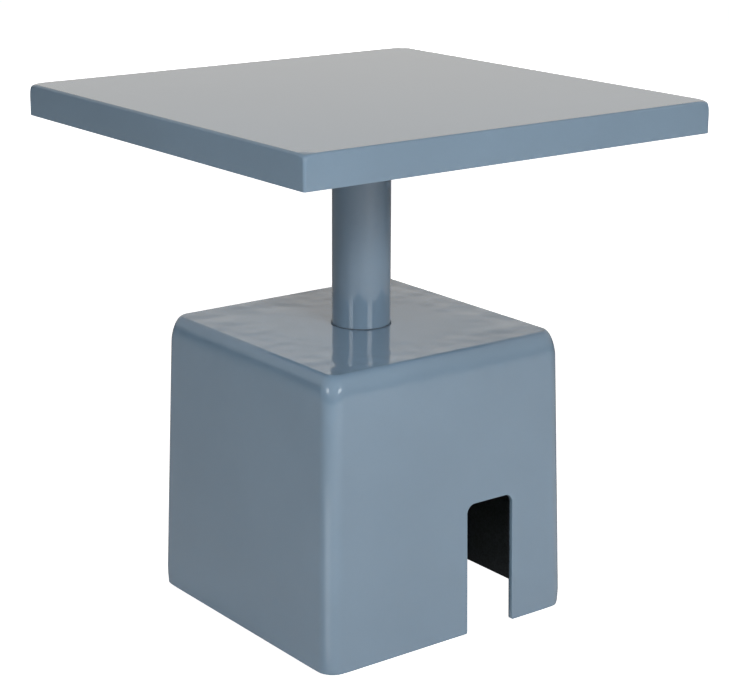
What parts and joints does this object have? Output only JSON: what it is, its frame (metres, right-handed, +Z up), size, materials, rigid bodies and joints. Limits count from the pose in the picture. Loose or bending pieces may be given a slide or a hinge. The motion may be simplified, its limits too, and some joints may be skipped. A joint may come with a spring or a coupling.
{
  "type": "side table",
  "caption": "Square side table: folded sheet top on a round column, clamped by a tie rod to a hollow moulded cube base with a floor-level notch.",
  "frame": {"origin": "on the floor, under the column's axis, at the level of the feet's soles", "axes": "+Z up along the column; the base's notched wall looks along -Y; +X to the right seen from the notched side"},
  "size_m": [0.45, 0.45, 0.5],
  "materials": {
    "top_lacquer": "blue-grey gloss lacquer on sheet steel",
    "frame_lacquer": "blue-grey gloss lacquer on steel tube and plate",
    "base_lacquer": "blue-grey high-gloss lacquer on a moulded shell",
    "plated_steel": "bright zinc plating",
    "galvanised_plate": "galvanised, faint spangle",
    "gasket_rubber": "thin dark rubber sheet",
    "foot_rubber": "black moulded rubber"
  },
  "bodies": {
    "root": {"top_tray": "top_lacquer", "spider_plate": "frame_lacquer", "tray_studs": "plated_steel", "stud_washers": "plated_steel", "stud_nuts": "plated_steel", "locating_ring": "frame_lacquer", "rod_anchor_nut": "plated_steel", "column_tube": "frame_lacquer", "column_foot_disc": "frame_lacquer", "column_gasket": "gasket_rubber", "locating_pins": "plated_steel", "tie_rod": "plated_steel", "base_shell": "base_lacquer", "backing_plate": "galvanised_plate", "rod_washer": "plated_steel", "rod_spring_washer": "plated_steel", "rod_nut": "plated_steel", "corner_foot_back_right": "foot_rubber", "corner_foot_back_left": "foot_rubber", "corner_foot_front_left": "foot_rubber", "corner_foot_front_right": "foot_rubber"}
  },
  "joints": []
}
